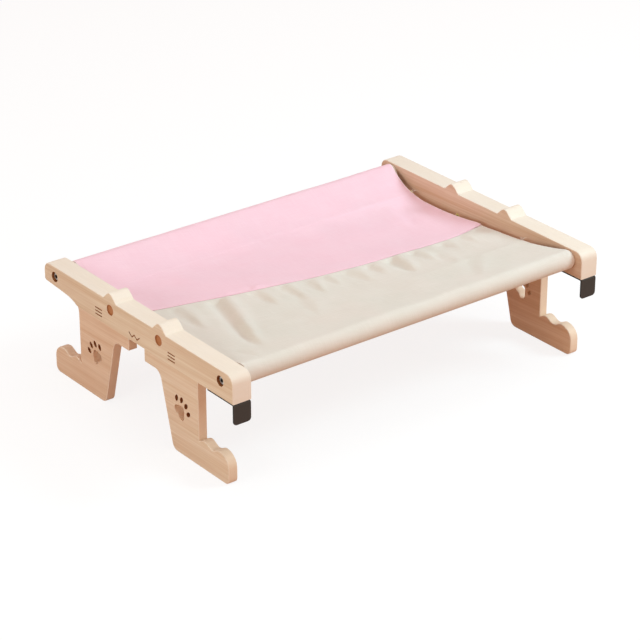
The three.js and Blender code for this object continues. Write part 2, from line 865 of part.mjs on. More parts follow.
const lapRise = clothThickness + plyGap;
const lapEndY = seamPlace + lapWidth;
const raised = (y) => lapRise * (1 - THREE.MathUtils.smoothstep(y, lapEndY, lapEndY + lapRamp));
const level = () => 0;
const pinkLine = [
  ...middleLine(rearStitchY, lapEndY + lapRamp, raised),
  ...middleLine(lapEndY, seamPlace, raised).filter((_, i) => i === 0 || i === sheetSteps),
];
const beigeLine = middleLine(frontStitchY, lapEndY, level);
addPiece("pink_panel", panel(rearDowelY, rearStitchY, pinkLine), pinkCanvas);
addPiece("beige_panel", panel(frontDowelY, frontStitchY, beigeLine), beigeCanvas);

export default perch;
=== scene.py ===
# Cat window perch in Blender 4.5: pine side frames with cut-out paws and a cat face, a pink
# and beige canvas sling sewn round two dowels, and black steel hooks. Metres, +Z up.
import math

import bmesh
import bpy
from mathutils import Matrix, Vector, noise


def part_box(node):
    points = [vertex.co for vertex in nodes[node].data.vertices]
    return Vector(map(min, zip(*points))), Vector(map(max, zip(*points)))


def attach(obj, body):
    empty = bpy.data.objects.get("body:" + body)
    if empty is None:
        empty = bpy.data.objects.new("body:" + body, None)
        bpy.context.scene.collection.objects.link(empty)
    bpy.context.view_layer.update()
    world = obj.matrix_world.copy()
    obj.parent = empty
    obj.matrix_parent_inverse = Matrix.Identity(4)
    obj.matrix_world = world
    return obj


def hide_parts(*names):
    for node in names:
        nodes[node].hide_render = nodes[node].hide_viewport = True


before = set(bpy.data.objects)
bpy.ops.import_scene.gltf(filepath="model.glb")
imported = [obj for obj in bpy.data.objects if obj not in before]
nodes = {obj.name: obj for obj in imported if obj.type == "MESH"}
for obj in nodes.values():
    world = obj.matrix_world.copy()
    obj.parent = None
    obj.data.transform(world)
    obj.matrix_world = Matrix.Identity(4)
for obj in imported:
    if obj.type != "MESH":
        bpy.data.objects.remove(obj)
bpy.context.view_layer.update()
stage = bpy.context.scene
bothSides = ("left", "right")
bothEnds = ("front", "rear")
print("frame loaded:", len(nodes), "nodes")


# Small helpers

def clamp01(value):
    return min(1.0, max(0.0, value))


def smoothStep(low, high, value):
    t = clamp01((value - low) / (high - low))
    return t * t * (3 - 2 * t)


def mix(start, end, share):
    return start + (end - start) * share


def middleOf(node):
    low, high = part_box(node)
    return (low + high) / 2


def pieceFrom(bm, name, materials, smoothAngle=None):
    mesh = bpy.data.meshes.new(name)
    bm.to_mesh(mesh)
    bm.free()
    piece = bpy.data.objects.new(name, mesh)
    stage.collection.objects.link(piece)
    for material in materials:
        mesh.materials.append(material)
    if smoothAngle is not None:
        mesh.shade_smooth()
        mesh.set_sharp_from_angle(angle=math.radians(smoothAngle))
    return piece


def settle(piece, body, slot, *replaced):
    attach(piece, body)
    if replaced:
        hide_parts(*replaced)


def dressedPiece(bm, node, materials, smoothAngle, slot, body="perch_frame"):
    # the piece that stands for one CAD node, named after it: left_hook_pad becomes leftHookPad
    first, *others = node.split("_")
    name = first + "".join(word.capitalize() for word in others)
    piece = pieceFrom(bm, name, materials, smoothAngle)
    settle(piece, body, slot, node)
    return piece


def mergedCopy(node):
    bm = bmesh.new()
    bm.from_mesh(nodes[node].data)
    bmesh.ops.remove_doubles(bm, verts=bm.verts, dist=2e-6)
    bmesh.ops.dissolve_limit(bm, angle_limit=math.radians(0.4), verts=bm.verts, edges=bm.edges,
                             use_dissolve_boundaries=False)
    return bm


# Materials: a small set of node helpers, then one function for each finish

def newMaterial(name):
    material = bpy.data.materials.new(name)
    material.use_nodes = True
    tree = material.node_tree
    shader = tree.nodes["Principled BSDF"]
    return material, tree, shader


def addNode(tree, kind, inputs=None, **options):
    node = tree.nodes.new("ShaderNode" + kind)
    for option, value in options.items():
        setattr(node, option, value)
    for socket, value in (inputs or {}).items():
        if isinstance(value, bpy.types.NodeSocket):
            tree.links.new(value, node.inputs[socket])
        else:
            node.inputs[socket].default_value = value
    return node


def mathOf(tree, operation, first, second=0.0):
    return addNode(tree, "Math", {0: first, 1: second}, operation=operation).outputs[0]


def times(tree, first, second):
    return mathOf(tree, "MULTIPLY", first, second)


def plus(tree, first, second):
    return mathOf(tree, "ADD", first, second)


def noiseOf(tree, place, scale, detail, roughness=0.5, output="Fac"):
    return addNode(tree, "TexNoise", {"Vector": place, "Scale": scale, "Detail": detail,
                                                "Roughness": roughness}).outputs[output]


def objectPlace(tree):
    return addNode(tree, "TexCoord").outputs["Object"]


def mixColour(tree, share, first, second, blend="MIX"):
    node = addNode(tree, "Mix", data_type="RGBA", blend_type=blend)
    for socket, value in (("Factor_Float", share), ("A_Color", first), ("B_Color", second)):
        target = next(i for i in node.inputs if i.identifier == socket)
        if isinstance(value, bpy.types.NodeSocket):
            tree.links.new(value, target)
        else:
            target.default_value = value
    return next(o for o in node.outputs if o.identifier == "Result_Color")


def rampOf(tree, share, stops):
    node = addNode(tree, "ValToRGB", {0: share})
    elements = node.color_ramp.elements
    while len(elements) < len(stops):
        elements.new(0.5)
    for element, (place, colour) in zip(elements, stops):
        element.position = place
        element.color = colour
    return node.outputs[0]


def srgb(red, green, blue):
    def linear(value):
        value /= 255
        return value / 12.92 if value <= 0.04045 else ((value + 0.055) / 1.055) ** 2.4
    return (linear(red), linear(green), linear(blue), 1.0)


def facing(tree, axis):
    # how squarely a face looks along one axis of its object, from 0 to 1
    normal = addNode(tree, "TexCoord").outputs["Normal"]
    parts = addNode(tree, "SeparateXYZ", {0: normal}).outputs
    return mathOf(tree, "ABSOLUTE", parts[axis])


def stretchedNoise(tree, place, size, detail, roughness=0.5):
    # size gives the length of a streak along each axis in metres
    scale = [1 / length for length in size]
    scaled = addNode(tree, "Mapping", {"Vector": place, "Scale": scale})
    return noiseOf(tree, scaled.outputs[0], 1.0, detail, roughness)


def greyRamp(tree, share, stops):
    return rampOf(tree, share, [(place, (tone, tone, tone, 1)) for place, tone in stops])


def tinted(tree, colour, tint):
    return mixColour(tree, 1.0, colour, tint, "MULTIPLY")


def roughened(tree, shader, height, strength, depth, under=None):
    # a bump on the shader's normal, laid over another one where there is one
    inputs = {"Height": height, "Strength": strength, "Distance": depth}
    if under:
        inputs["Normal"] = under
    bump = addNode(tree, "Bump", inputs).outputs[0]
    tree.links.new(bump, shader.inputs["Normal"])
    return bump


pine = {
    "early": srgb(242, 222, 197),
    "late": srgb(221, 190, 156),
    # plain colours the tops, ends and undersides: partly their own smoother grain, partly painted light on
    # the lit tops
    "plain": srgb(245, 233, 218),
    "rosy": srgb(220, 182, 152),
    "lean": math.radians(1.5),
    "wander": 0.007,
    "wanderScale": 5.0,
    "streak": (0.02, 0.15, 0.0021),
    "streakTones": [(0.36, 0), (0.66, 1)],
    "band": (0.05, 0.35, 0.009),
    "bandTones": [(0.35, 0), (0.65, 1)],
    "patch": (0.05, 0.11, 0.03),
    "patchTones": [(0.42, 0), (0.72, 1)],
    "patchShare": 0.35,
    "edgeGrain": 0.3,
    "sideTones": [(0.7, 0), (0.97, 1)],
    # a pale band on the rounded rims, a painted highlight
    "arrisHighlightTones": [(0.15, 0), (0.4, 1), (0.88, 1), (0.985, 0)],
    "arrisHighlightShare": 0.6,
    "fibre": (0.0006, 0.05, 0.0006),
    "fibreTones": [(0.3, 0.93), (0.7, 1.0)],
    "fibreDepth": 0.00003,
    "bump": 0.5,
    "roughness": 0.48,
    "fibreRoughness": 0.16,
    "specular": 0.3,
}


def pineMaterial(name, shift, turn=0.0, burnAndShade=None, tone=(1, 1, 1), edgePaintedLight=(1, 1, 1)):
    # straight growth lines along the board, clear on its sides and faint on its edges; the edges are pale
    # and plain, partly their own smoother grain and partly painted light, and the tints passed in are
    # painted light and shade for each board
    material, tree, shader = newMaterial(name)
    board = addNode(tree, "Mapping", {"Vector": objectPlace(tree), "Location": shift,
                                                "Rotation": (pine["lean"], 0, turn)}).outputs[0]
    slow = noiseOf(tree, board, pine["wanderScale"], 1.0, output="Color")
    drift = addNode(tree, "VectorMath", {0: slow, 1: (0.5, 0.5, 0.5)}, operation="SUBTRACT")
    drift = addNode(tree, "VectorMath", {0: drift.outputs[0], "Scale": pine["wander"]},
                    operation="SCALE")
    bent = addNode(tree, "VectorMath", {0: board, 1: drift.outputs[0]}, operation="ADD")
    bent = bent.outputs[0]
    streak = greyRamp(tree, stretchedNoise(tree, bent, pine["streak"], 3.0, 0.6), pine["streakTones"])
    band = greyRamp(tree, stretchedNoise(tree, bent, pine["band"], 2.0), pine["bandTones"])
    patch = greyRamp(tree, stretchedNoise(tree, board, pine["patch"], 2.0), pine["patchTones"])
    fibre = stretchedNoise(tree, board, pine["fibre"], 4.0, 0.6)
    grain = plus(tree, times(tree, streak, 0.5), times(tree, band, 0.5))
    side = mixColour(tree, grain, pine["early"], pine["late"])
    side = mixColour(tree, times(tree, patch, pine["patchShare"]), side, pine["rosy"])
    # tone lightens or darkens this board's sides as painted light and shade
    side = tinted(tree, side, (*tone, 1))
    edge = mixColour(tree, times(tree, grain, pine["edgeGrain"]), pine["plain"], pine["early"])
    # this board's edge tint is painted light and shade
    edge = tinted(tree, edge, (*edgePaintedLight, 1))
    across = facing(tree, 0)
    colour = mixColour(tree, greyRamp(tree, across, pine["sideTones"]), edge, side)
    # the rounded rims, between side and edge, are painted pale as a painted highlight
    arrisHighlight = times(tree, greyRamp(tree, across, pine["arrisHighlightTones"]), pine["arrisHighlightShare"])
    colour = mixColour(tree, arrisHighlight, colour, pine["plain"])
    colour = tinted(tree, colour, greyRamp(tree, fibre, pine["fibreTones"]))
    # darkens cut walls: a real burn in the engraving, painted shade in the counterbores and paw holes
    if burnAndShade:
        colour = tinted(tree, colour, burnAndShade)
    tree.links.new(colour, shader.inputs["Base Color"])
    rough = plus(tree, pine["roughness"], times(tree, fibre, pine["fibreRoughness"]))
    tree.links.new(rough, shader.inputs["Roughness"])
    shader.inputs["Specular IOR Level"].default_value = pine["specular"]
    height = plus(tree, fibre, times(tree, grain, -0.4))
    roughened(tree, shader, height, pine["bump"], pine["fibreDepth"])
    return material


canvas = {
    "threadPitch": 0.00075,
    "threadDepth": 0.00008,
    "threadBump": 0.55,
    "slubDepth": 0.00006,
    "slubBump": 0.6,
    "warpSlub": (1400, 45, 1),
    "weftSlub": (38, 1300, 1),
    "slubShare": 0.42,
    "wideScale": 26.0,
    "wideShare": 0.25,
    "tintTones": [(0.35, 0), (0.78, 1)],
    "broadScale": 11.0,
    "warmth": [(0.38, (0.975, 0.985, 0.975, 1)), (0.64, (1.0, 0.985, 0.98, 1))],
    # the hem's fold is painted paler, a painted highlight along the side edges
    "hem": srgb(252, 244, 240),
    "hemHighlightShare": 0.7,
    "roughness": 0.86,
    "specular": 0.2,
    "sheen": 0.12,
    "sheenRoughness": 0.5,
}


def canvasMaterial(name, colour, shade):
    # plain weave from the cloth's own UV map, which is laid out in metres
    material, tree, shader = newMaterial(name)
    cloth = addNode(tree, "UVMap", uv_map="cloth").outputs[0]
    turns = math.pi / canvas["threadPitch"]
    parts = addNode(tree, "SeparateXYZ", {0: cloth}).outputs
    warp, weft = [mathOf(tree, "SINE", times(tree, parts[axis], turns)) for axis in (0, 1)]
    crown = plus(tree, mathOf(tree, "ABSOLUTE", warp), mathOf(tree, "ABSOLUTE", weft))
    weave = plus(tree, times(tree, times(tree, warp, weft), 0.5), crown)
    threads = [addNode(tree, "Mapping", {"Vector": cloth, "Scale": canvas[way]}).outputs[0]
               for way in ("warpSlub", "weftSlub")]
    slubs = plus(tree, *[noiseOf(tree, place, 1.0, 2.0) for place in threads])
    wide = noiseOf(tree, cloth, canvas["wideScale"], 3.0)
    broad = noiseOf(tree, cloth, canvas["broadScale"], 2.0)
    tint = plus(tree, times(tree, slubs, canvas["slubShare"]), times(tree, wide, canvas["wideShare"]))
    base = mixColour(tree, greyRamp(tree, tint, canvas["tintTones"]), shade, colour)
    base = tinted(tree, base, rampOf(tree, broad, canvas["warmth"]))
    # painted highlight along the hem's fold
    hem = addNode(tree, "Attribute", attribute_name="hemFold").outputs["Fac"]
    base = mixColour(tree, times(tree, hem, canvas["hemHighlightShare"]), base, canvas["hem"])
    tree.links.new(base, shader.inputs["Base Color"])
    shader.inputs["Roughness"].default_value = canvas["roughness"]
    shader.inputs["Specular IOR Level"].default_value = canvas["specular"]
    shader.inputs["Sheen Weight"].default_value = canvas["sheen"]
    shader.inputs["Sheen Roughness"].default_value = canvas["sheenRoughness"]
    coarse = roughened(tree, shader, slubs, canvas["slubBump"], canvas["slubDepth"])
    roughened(tree, shader, weave, canvas["threadBump"], canvas["threadDepth"], coarse)
    return material


thread = {"twistScale": 2600.0, "roughness": 0.7, "sheen": 0.2, "bump": 0.4, "depth": 0.00005}


def threadMaterial(name, colour, shade):
    material, tree, shader = newMaterial(name)
    twist = noiseOf(tree, objectPlace(tree), thread["twistScale"], 1.0)
    tree.links.new(mixColour(tree, twist, shade, colour), shader.inputs["Base Color"])
    shader.inputs["Roughness"].default_value = thread["roughness"]
    shader.inputs["Sheen Weight"].default_value = thread["sheen"]
    roughened(tree, shader, twist, thread["bump"], thread["depth"])
    return material


metal = {"roughnessSpread": 0.16, "bump": 0.35, "rimShadeTones": [(0.15, 0), (0.5, 1)], "rimSpecular": 0.22}


def metalMaterial(name, light, dark, roughness, metallic, grainScale, depth, rim=None):
    # rim is a darker colour painted on the faces that look along X, the strip's sides and rounded edges, as
    # painted shade
    material, tree, shader = newMaterial(name)
    grain = noiseOf(tree, objectPlace(tree), grainScale, 3.0)
    colour = mixColour(tree, grain, dark, light)
    if rim:
        colour = mixColour(tree, greyRamp(tree, facing(tree, 0), metal["rimShadeTones"]), colour, rim)
        shader.inputs["Specular IOR Level"].default_value = metal["rimSpecular"]
    tree.links.new(colour, shader.inputs["Base Color"])
    spread = metal["roughnessSpread"]
    rough = plus(tree, roughness - spread / 2, times(tree, grain, spread))
    tree.links.new(rough, shader.inputs["Roughness"])
    shader.inputs["Metallic"].default_value = metallic
    roughened(tree, shader, grain, metal["bump"], depth)
    return material


pinkCanvas = canvasMaterial("pinkCanvas", srgb(253, 218, 229), srgb(247, 204, 217))
beigeCanvas = canvasMaterial("beigeCanvas", srgb(237, 231, 222), srgb(225, 218, 206))
pinkThread = threadMaterial("pinkThread", srgb(252, 222, 231), srgb(240, 190, 206))
ivoryThread = threadMaterial("ivoryThread", srgb(244, 239, 229), srgb(214, 206, 192))
zincSteel = metalMaterial("zincSteel", srgb(206, 198, 190), srgb(174, 166, 158), 0.34, 1.0, 900, 1e-5)
brassPlated = metalMaterial("brassPlated", srgb(214, 184, 118), srgb(186, 152, 90), 0.33, 1.0, 700, 1e-5)
# its darker rim colour is painted shade on the sides of the strip
blackSteel = metalMaterial("blackSteel", srgb(63, 51, 42), srgb(50, 39, 31), 0.46, 0.0, 2600, 2e-5,
                           srgb(30, 25, 21))
blackFoam = metalMaterial("blackFoam", srgb(46, 43, 41), srgb(30, 28, 27), 0.86, 0.0, 3200, 6e-5)
print("materials made")


# Side frames: boards cut from the CAD outline, with sanded edges

sideFrame = {
    "edgeRadius": 0.0013,
    "edgeSegments": 3,
    "cutRadius": 0.0004,
    "cutSegments": 2,
    "rimSpan": 0.9,
    "rimShare": 0.5,
    "sharpestTurn": 0.3,
    "smoothAngle": 40,
    "shift": {"rail": 0.3, "front": 0.7, "rear": 1.3},
    "rightShift": 0.4,
    # the right rail's sides are painted darker and redder, painted shade on its inner face; the left rail's
    # get a slight cool tint
    "railTone": {"left": (0.93, 0.98, 1), "right": (0.88, 0.8, 0.78)},
    # the front legs' sides are painted lighter and the rear legs' darker, painted light and shade
    "legTone": {"left": {"front": (1.01, 1.09, 1.16), "rear": (0.94, 0.9, 0.9)},
                "right": {"front": (1.04, 0.97, 0.92), "rear": (1, 0.97, 0.95)}},
    # the left legs' edges are painted darker, painted shade under the rails, and the right legs' paler,
    # painted light
    "legEdgeTone": {"left": (0.96, 0.86, 0.75), "right": (1.05, 0.97, 0.88)},
}

catFace = {
    "reach": 0.1,
    "height": (0.1215, 0.151),
    "depth": (1e-5, 0.002),
    "largestCut": 2e-4,
    "eye": {"y": 0.0515, "z": 0.1425, "reach": 0.0085},
    "boreReach": 0.0075,
    "boreDepth": (1e-5, 0.012),
    "eyeBurn": srgb(196, 146, 106),
    # the line colour also darkens the counterbore walls, painted shade in the holes
    "lineBurnAndBoreShade": srgb(170, 118, 76),
}

pawPrint = {
    "column": {"front": 0.1195, "rear": 0.1355},
    "reach": (0.014, 0.053),
    "height": (0.04, 0.086),
    "pad": {"inset": 0.0383, "level": 0.0568, "reach": 0.0125},
    "wallTilt": 0.2,
    "leastWall": 1e-6,
    # the paw walls are painted dark on the left legs as painted shade, and pale on the right legs as
    # painted light
    "toeWallPaintedLight": {"left": srgb(172, 118, 76), "right": srgb(232, 200, 170)},
}


def within(limits, *values):
    return all(limits[0] < value < limits[1] for value in values)


def sideLoops(bm, x, sign):
    # the closed outlines of one side of a board, each as corners in order with the wood on their left
    flat = {f for f in bm.faces if f.normal.x * sign > 0.999 and abs(f.calc_center_median().x - x) < 1e-5}
    after = {}
    for face in flat:
        for loop in face.loops:
            if not any(other in flat for other in loop.edge.link_faces if other is not face):
                after[loop.vert] = loop.link_loop_next.vert
    bmesh.ops.delete(bm, geom=list(flat), context="FACES")
    outlines = []
    while after:
        corner, following = after.popitem()
        outline = [corner]
        while following is not outline[0]:
            outline.append(following)
            following = after.pop(following)
        outlines.append(outline)
    return outlines


def spansBoard(first, second, thickness):
    # whether the wall under an outline's edge runs across the board or lies on its underside
    wall = next(f for e in first.link_edges if e.other_vert(first) is second for f in e.link_faces)
    xs = [vert.co.x for vert in wall.verts]
    return max(xs) - min(xs) > sideFrame["rimSpan"] * thickness or wall.normal.z < -0.999


def roundedRim(bm, outline, sign, radius, segments):
    # replaces a sharp outline by rings that turn from the wall to the side, and returns the last one
    outward = Vector((sign, 0, 0))
    inward = []
    for before, corner, following in zip(outline[-1:] + outline[:-1], outline, outline[1:] + outline[:1]):
        first = outward.cross(corner.co - before.co).normalized()
        second = outward.cross(following.co - corner.co).normalized()
        inward.append((first + second) / max(sideFrame["sharpestTurn"], 1 + first.dot(second)))
    corners = [vert.co.copy() for vert in outline]
    for vert in outline:
        vert.co.x -= sign * radius
    ring = outline
    for step in range(1, segments + 1):
        angle = math.pi / 2 * step / segments
        along = radius * (1 - math.cos(angle))
        down = radius * (1 - math.sin(angle))
        upper = [bm.verts.new(place + way * along - outward * down) for place, way in zip(corners, inward)]
        for i in range(len(ring)):
            j = (i + 1) % len(ring)
            bm.faces.new((ring[i], ring[j], upper[j], upper[i]))
        ring = upper
    return ring


def boardCopy(node, isCut):
    low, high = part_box(node)
    thickness = high.x - low.x
    bm = mergedCopy(node)
    for x, sign in ((low.x, -1), (high.x, 1)):
        rims = []
        for outline in sideLoops(bm, x, sign):
            pairs = list(zip(outline, outline[1:] + outline[:1]))
            length = sum((b.co - a.co).length for a, b in pairs)
            spanned = sum((b.co - a.co).length for a, b in pairs if spansBoard(a, b, thickness))
            if spanned > sideFrame["rimShare"] * length:
                kind = "cut" if isCut(outline) else "edge"
                radius, segments = sideFrame[kind + "Radius"], sideFrame[kind + "Segments"]
                outline = roundedRim(bm, outline, sign, radius, segments)
            rims.append(outline)
        edges = [bm.edges.get(pair) or bm.edges.new(pair)
                 for rim in rims for pair in zip(rim, rim[1:] + rim[:1])]
        bmesh.ops.triangle_fill(bm, edges=edges, use_beauty=True, use_dissolve=False, normal=(sign, 0, 0))
    bm.normal_update()
    bmesh.ops.recalc_face_normals(bm, faces=bm.faces)
    return bm


def evenNormals(board):
    # flat sides and walls keep their own normals up to the rounded rim, which turns between them
    mesh = board.data
    limit = math.radians(sideFrame["smoothAngle"])
    around = [[] for vert in mesh.vertices]
    for face in mesh.polygons:
        for index in face.vertices:
            around[index].append(face.normal.copy())
    normals = []
    for face in mesh.polygons:
        for index in face.vertices:
            near = [normal for normal in around[index] if normal.angle(face.normal, 0) < limit]
            level = [normal for normal in near if not 0.01 < abs(normal.x) < 0.99]
            normals.append(sum(level or near, Vector()).normalized())
    mesh.normals_split_custom_set(normals)


def boardPiece(bm, node, woods):
    board = dressedPiece(bm, node, woods, sideFrame["smoothAngle"], "pine_board")
    evenNormals(board)


def grainShift(side, board):
    # every board is cut from its own stretch of pine
    return Vector((sideFrame["shift"][board], 0, 0 if side == "left" else sideFrame["rightShift"]))


def engravedKind(face, outerX, bolts):
    # 1 for a sunk eye, 2 for a whisker, the mouth or a counterbore, 0 for the rest of the rail; the
    # counterbore walls take the darker line colour as painted shade, the eyes and lines a real burn
    centre = face.calc_center_median()
    depth = abs(outerX - centre.x)
    inBore = any(math.hypot(centre.y - bolt.y, centre.z - bolt.z) < catFace["boreReach"] for bolt in bolts)
    # counterbore walls are painted darker as painted shade
    if inBore and within(catFace["boreDepth"], depth):
        return 2
    inFace = abs(centre.y) < catFace["reach"] and within(catFace["height"], centre.z)
    if not inFace or not within(catFace["depth"], depth) or face.calc_area() > catFace["largestCut"]:
        return 0
    eye = catFace["eye"]
    inEye = abs(abs(centre.y) - eye["y"]) < eye["reach"] and abs(centre.z - eye["z"]) < eye["reach"]
    return 1 if inEye else 2


def railPiece(side):
    node = side + "_rail"
    low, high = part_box(node)
    outerX = low.x if side == "left" else high.x
    bm = boardCopy(node, lambda outline: False)
    bolts = [middleOf(side + "_" + end + "_rail_bolt") for end in bothEnds]
    for face in bm.faces:
        face.material_index = engravedKind(face, outerX, bolts)
    shift = grainShift(side, "rail")
    boardPiece(bm, node, [
        pineMaterial(side + "RailPine", shift, tone=sideFrame["railTone"][side]),
        pineMaterial(side + "EyePine", shift, burnAndShade=catFace["eyeBurn"]),
        pineMaterial(side + "LineAndBoreShadePine", shift, burnAndShade=catFace["lineBurnAndBoreShade"]),
    ])


def legPiece(side, end):
    node = side + "_" + end + "_leg"
    column = pawPrint["column"][end]

    def inPaw(places):
        insets = [column - abs(place.y) for place in places]
        return within(pawPrint["reach"], *insets) and within(pawPrint["height"], *[p.z for p in places])

    bm = boardCopy(node, lambda outline: inPaw([vert.co for vert in outline]))
    pad = pawPrint["pad"]
    for face in bm.faces:
        centre = face.calc_center_median()
        fromPad = math.hypot(column - abs(centre.y) - pad["inset"], centre.z - pad["level"])
        isWall = abs(face.normal.x) < pawPrint["wallTilt"] and face.calc_area() > pawPrint["leastWall"]
        # paw walls take their side's painted light or shade
        isToe = isWall and within((pad["reach"], 2 * pad["reach"]), fromPad) and inPaw([centre])
        face.material_index = 1 if isToe else 0
    shift = grainShift(side, end)
    boardPiece(bm, node, [
        pineMaterial(side + end.capitalize() + "LegPine", shift, tone=sideFrame["legTone"][side][end],
                     edgePaintedLight=sideFrame["legEdgeTone"][side]),
        pineMaterial(side + end.capitalize() + "ToePaintedLightPine", shift, burnAndShade=pawPrint["toeWallPaintedLight"][side]),
    ])


for side in bothSides:
    railPiece(side)
    for end in bothEnds:
        legPiece(side, end)
print("side frames made")


# Turned hardware: profiles of (radius, place) are spun round the Z axis, then laid in place

hardware = {
    "steps": 48,
    "smoothAngle": 32,
    "edge": 0.0003,
    "boltWasher": (0.006, 0.0032, 0.0016),
    "hookWasher": (0.005, 0.00265, 0.001),
    "railBolt": {"head": 0.005, "headHeight": 0.006, "shank": 0.003, "length": 0.025, "key": 0.0029,
                 "keyDepth": 0.003, "sides": 6, "rim": 0.0036},
    "hookScrew": {"head": 0.0045, "headHeight": 0.0028, "shank": 0.0025, "length": 0.011, "key": 0.00173,
                  "keyDepth": 0.0016, "sides": 6, "rim": 0.0024},
    "legScrew": {"head": 0.0038, "headHeight": 0.0024, "shank": 0.002, "length": 0.016, "tip": 0.003,
                 "key": 0.0018, "keyDepth": 0.001, "sides": 4, "rim": 0.0024},
}


def spunShell(profile, steps=hardware["steps"]):
    bm = bmesh.new()
    verts = [bm.verts.new((radius, 0, place)) for radius, place in profile]
    edges = [bm.edges.new(pair) for pair in zip(verts, verts[1:])]
    bmesh.ops.spin(bm, geom=verts + edges, cent=(0, 0, 0), axis=(0, 0, 1), dvec=(0, 0, 0),
                   angle=math.tau, steps=steps, use_merge=True, use_duplicate=False)
    bmesh.ops.remove_doubles(bm, verts=bm.verts, dist=1e-7)
    return bm


def socketScrew(size, profile):
    # joins the open rim on top of a head to a key hole, which is pushed in and closed
    bm = spunShell([*profile, (size["rim"], 0)])
    rim = [e for e in bm.edges if e.is_boundary and all(abs(v.co.z) < 1e-7 for v in e.verts)]
    bmesh.ops.create_circle(bm, segments=size["sides"], radius=size["key"], cap_ends=False)
    keyEdges = [e for e in bm.edges if e.is_wire]
    bmesh.ops.subdivide_edges(bm, edges=keyEdges, cuts=hardware["steps"] // size["sides"] - 1)
    keyEdges = [e for e in bm.edges if e.is_wire]
    bmesh.ops.bridge_loops(bm, edges=rim + keyEdges)
    edge = [e for e in bm.edges if e.is_boundary]
    sunk = bmesh.ops.extrude_edge_only(bm, edges=edge)["geom"]
    floorVerts = [v for v in sunk if isinstance(v, bmesh.types.BMVert)]
    bmesh.ops.translate(bm, verts=floorVerts, vec=(0, 0, -size["keyDepth"]))
    floorEdges = [e for e in sunk if isinstance(e, bmesh.types.BMEdge) and e.is_boundary]
    bmesh.ops.contextual_create(bm, geom=floorEdges)
    return bm


def layAlong(bm, axis, place):
    # the piece's +Z becomes the given direction
    turn = Vector(axis).to_track_quat("Z", "Y").to_matrix().to_4x4()
    bmesh.ops.transform(bm, matrix=Matrix.Translation(place) @ turn, verts=bm.verts)
    bmesh.ops.recalc_face_normals(bm, faces=bm.faces)


def headedScrew(kind):
    size = hardware[kind]
    edge = hardware["edge"]
    bottom = -size["headHeight"]
    return socketScrew(size, [
        (0, bottom - size["length"]),
        (size["shank"] - edge, bottom - size["length"]),
        (size["shank"], bottom - size["length"] + edge),
        (size["shank"], bottom),
        (size["head"] - edge, bottom),
        (size["head"], bottom + edge),
        (size["head"], -2 * edge),
        (size["head"] - 0.6 * edge, -0.6 * edge),
        (size["head"] - 2 * edge, 0),
    ])


def countersunkScrew():
    size = hardware["legScrew"]
    edge = hardware["edge"]
    return socketScrew(size, [
        (0, -size["length"]),
        (size["shank"], size["tip"] - size["length"]),
        (size["shank"], -size["headHeight"]),
        (size["head"] - 0.3 * edge, -edge),
        (size["head"], -0.5 * edge),
        (size["head"] - 0.5 * edge, 0),
    ])


def washerRing(kind):
    outer, inner, thickness = hardware[kind]
    edge = hardware["edge"] / 2
    return spunShell([
        (inner, 0), (outer - edge, 0), (outer, edge), (outer, thickness - edge),
        (outer - edge, thickness), (inner, thickness), (inner, 0),
    ])


def boxMiddleAt(node, axis):
    # the middle of a node's box, at the end that the axis points to
    low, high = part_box(node)
    middle = (low + high) / 2
    half = (high - low) / 2
    return middle + Vector([axis[i] * half[i] for i in range(3)])


finishes = {"zinc_steel": zincSteel, "brass_plated": brassPlated, "black_steel": blackSteel,
            "black_foam": blackFoam}


def hardwarePiece(bm, node, axis, seat, slot):
    # axis is the way that the piece's own +Z turns, and seat the end of its box where its top lies
    layAlong(bm, axis, boxMiddleAt(node, seat))
    dressedPiece(bm, node, [finishes[slot]], hardware["smoothAngle"], slot)


down = (0, 0, -1)
up = (0, 0, 1)
for side in bothSides:
    outward = (-1, 0, 0) if side == "left" else (1, 0, 0)
    inward = (-outward[0], 0, 0)
    for end in bothEnds:
        corner = side + "_" + end
        hardwarePiece(headedScrew("railBolt"), corner + "_rail_bolt", outward, outward, "zinc_steel")
        hardwarePiece(washerRing("boltWasher"), corner + "_bolt_washer", inward, outward, "zinc_steel")
        for row in ("outer", "inner"):
            node = corner + "_leg_screw_" + row
            hardwarePiece(countersunkScrew(), node, inward, inward, "brass_plated")
        hardwarePiece(headedScrew("hookScrew"), side + "_hook_screw_" + end, down, down, "black_steel")
        hardwarePiece(washerRing("hookWasher"), side + "_hook_washer_" + end, down, up, "zinc_steel")
        for node in (corner + "_dowel_insert", side + "_hook_insert_" + end):
            nodes[node].data.materials.clear()
            nodes[node].data.materials.append(brassPlated)
print("hardware made")


# Hooks and their pads: bent strips with softened edges

clampParts = {"hook": ("black_steel", 0.0002), "hook_pad": ("black_foam", 0.0003)}
clampEdge = {"segments": 3, "sharpFrom": math.radians(50), "smoothAngle": 35}


def clampPiece(side, part):
    slot, edge = clampParts[part]
    node = side + "_" + part
    bm = mergedCopy(node)
    sharp = [e for e in bm.edges if e.calc_face_angle(0) > clampEdge["sharpFrom"]]
    bmesh.ops.bevel(bm, geom=sharp, offset=edge, offset_type="OFFSET", segments=clampEdge["segments"],
                    profile=0.5, affect="EDGES", clamp_overlap=False, material=-1)
    piece = dressedPiece(bm, node, [finishes[slot]], clampEdge["smoothAngle"], slot, side + "_clamp")
    piece.modifiers.new("flatSides", "WEIGHTED_NORMAL").keep_sharp = True


for side in bothSides:
    for part in clampParts:
        clampPiece(side, part)
print("hooks made")


# Dowels

dowelShape = {"chamfer": 0.0009, "boreRadius": 0.0052, "boreDepth": 0.02, "steps": 64, "grainShift": 0.2}


